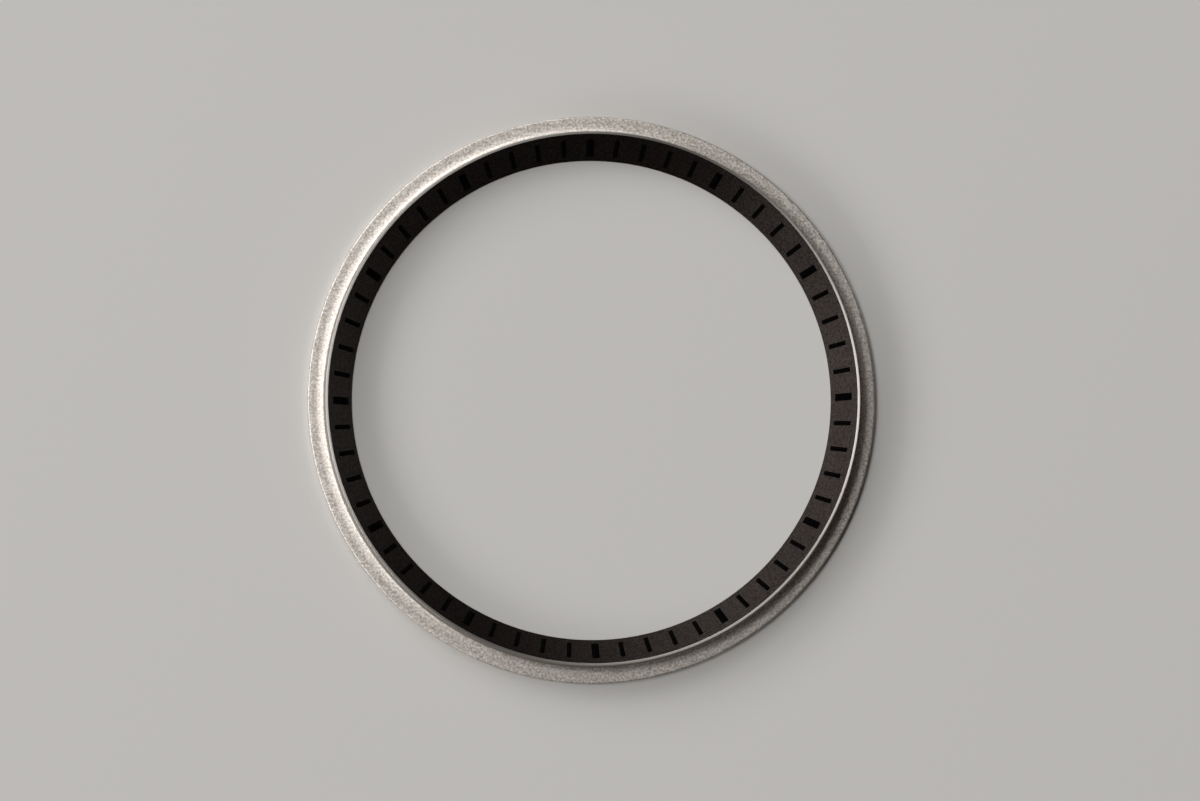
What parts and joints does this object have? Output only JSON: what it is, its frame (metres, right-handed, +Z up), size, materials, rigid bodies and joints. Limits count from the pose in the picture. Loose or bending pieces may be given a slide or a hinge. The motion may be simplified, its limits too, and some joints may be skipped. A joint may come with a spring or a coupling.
{
  "type": "watch chapter ring",
  "caption": "Turned steel ring that frames a watch dial: low outer flange, upright body with a narrow crest, and a sloping inner wall that carries a black minute track.",
  "frame": {"origin": "middle of the ring's underside, which lies on the dial", "axes": "+Z up along the ring's axis, from the dial towards the crystal; +Y towards the mark at 12 o'clock; +X towards the mark at 3 o'clock"},
  "size_m": [0.0305, 0.0304, 0.0019],
  "materials": {
    "ring_steel": "fine bead-blasted steel, with a smoother bright land on the crest",
    "mark_lacquer": "matte black printed lacquer"
  },
  "bodies": {
    "root": {"ring_body": "ring_steel", "hour_mark_12": "mark_lacquer", "hour_mark_01": "mark_lacquer", "hour_mark_02": "mark_lacquer", "hour_mark_03": "mark_lacquer", "hour_mark_04": "mark_lacquer", "hour_mark_05": "mark_lacquer", "hour_mark_06": "mark_lacquer", "hour_mark_07": "mark_lacquer", "hour_mark_08": "mark_lacquer", "hour_mark_09": "mark_lacquer", "hour_mark_10": "mark_lacquer", "hour_mark_11": "mark_lacquer", "minute_marks_01_to_04": "mark_lacquer", "minute_marks_06_to_09": "mark_lacquer", "minute_marks_11_to_14": "mark_lacquer", "minute_marks_16_to_19": "mark_lacquer", "minute_marks_21_to_24": "mark_lacquer", "minute_marks_26_to_29": "mark_lacquer", "minute_marks_31_to_34": "mark_lacquer", "minute_marks_36_to_39": "mark_lacquer", "minute_marks_41_to_44": "mark_lacquer", "minute_marks_46_to_49": "mark_lacquer", "minute_marks_51_to_54": "mark_lacquer", "minute_marks_56_to_59": "mark_lacquer"}
  },
  "joints": []
}
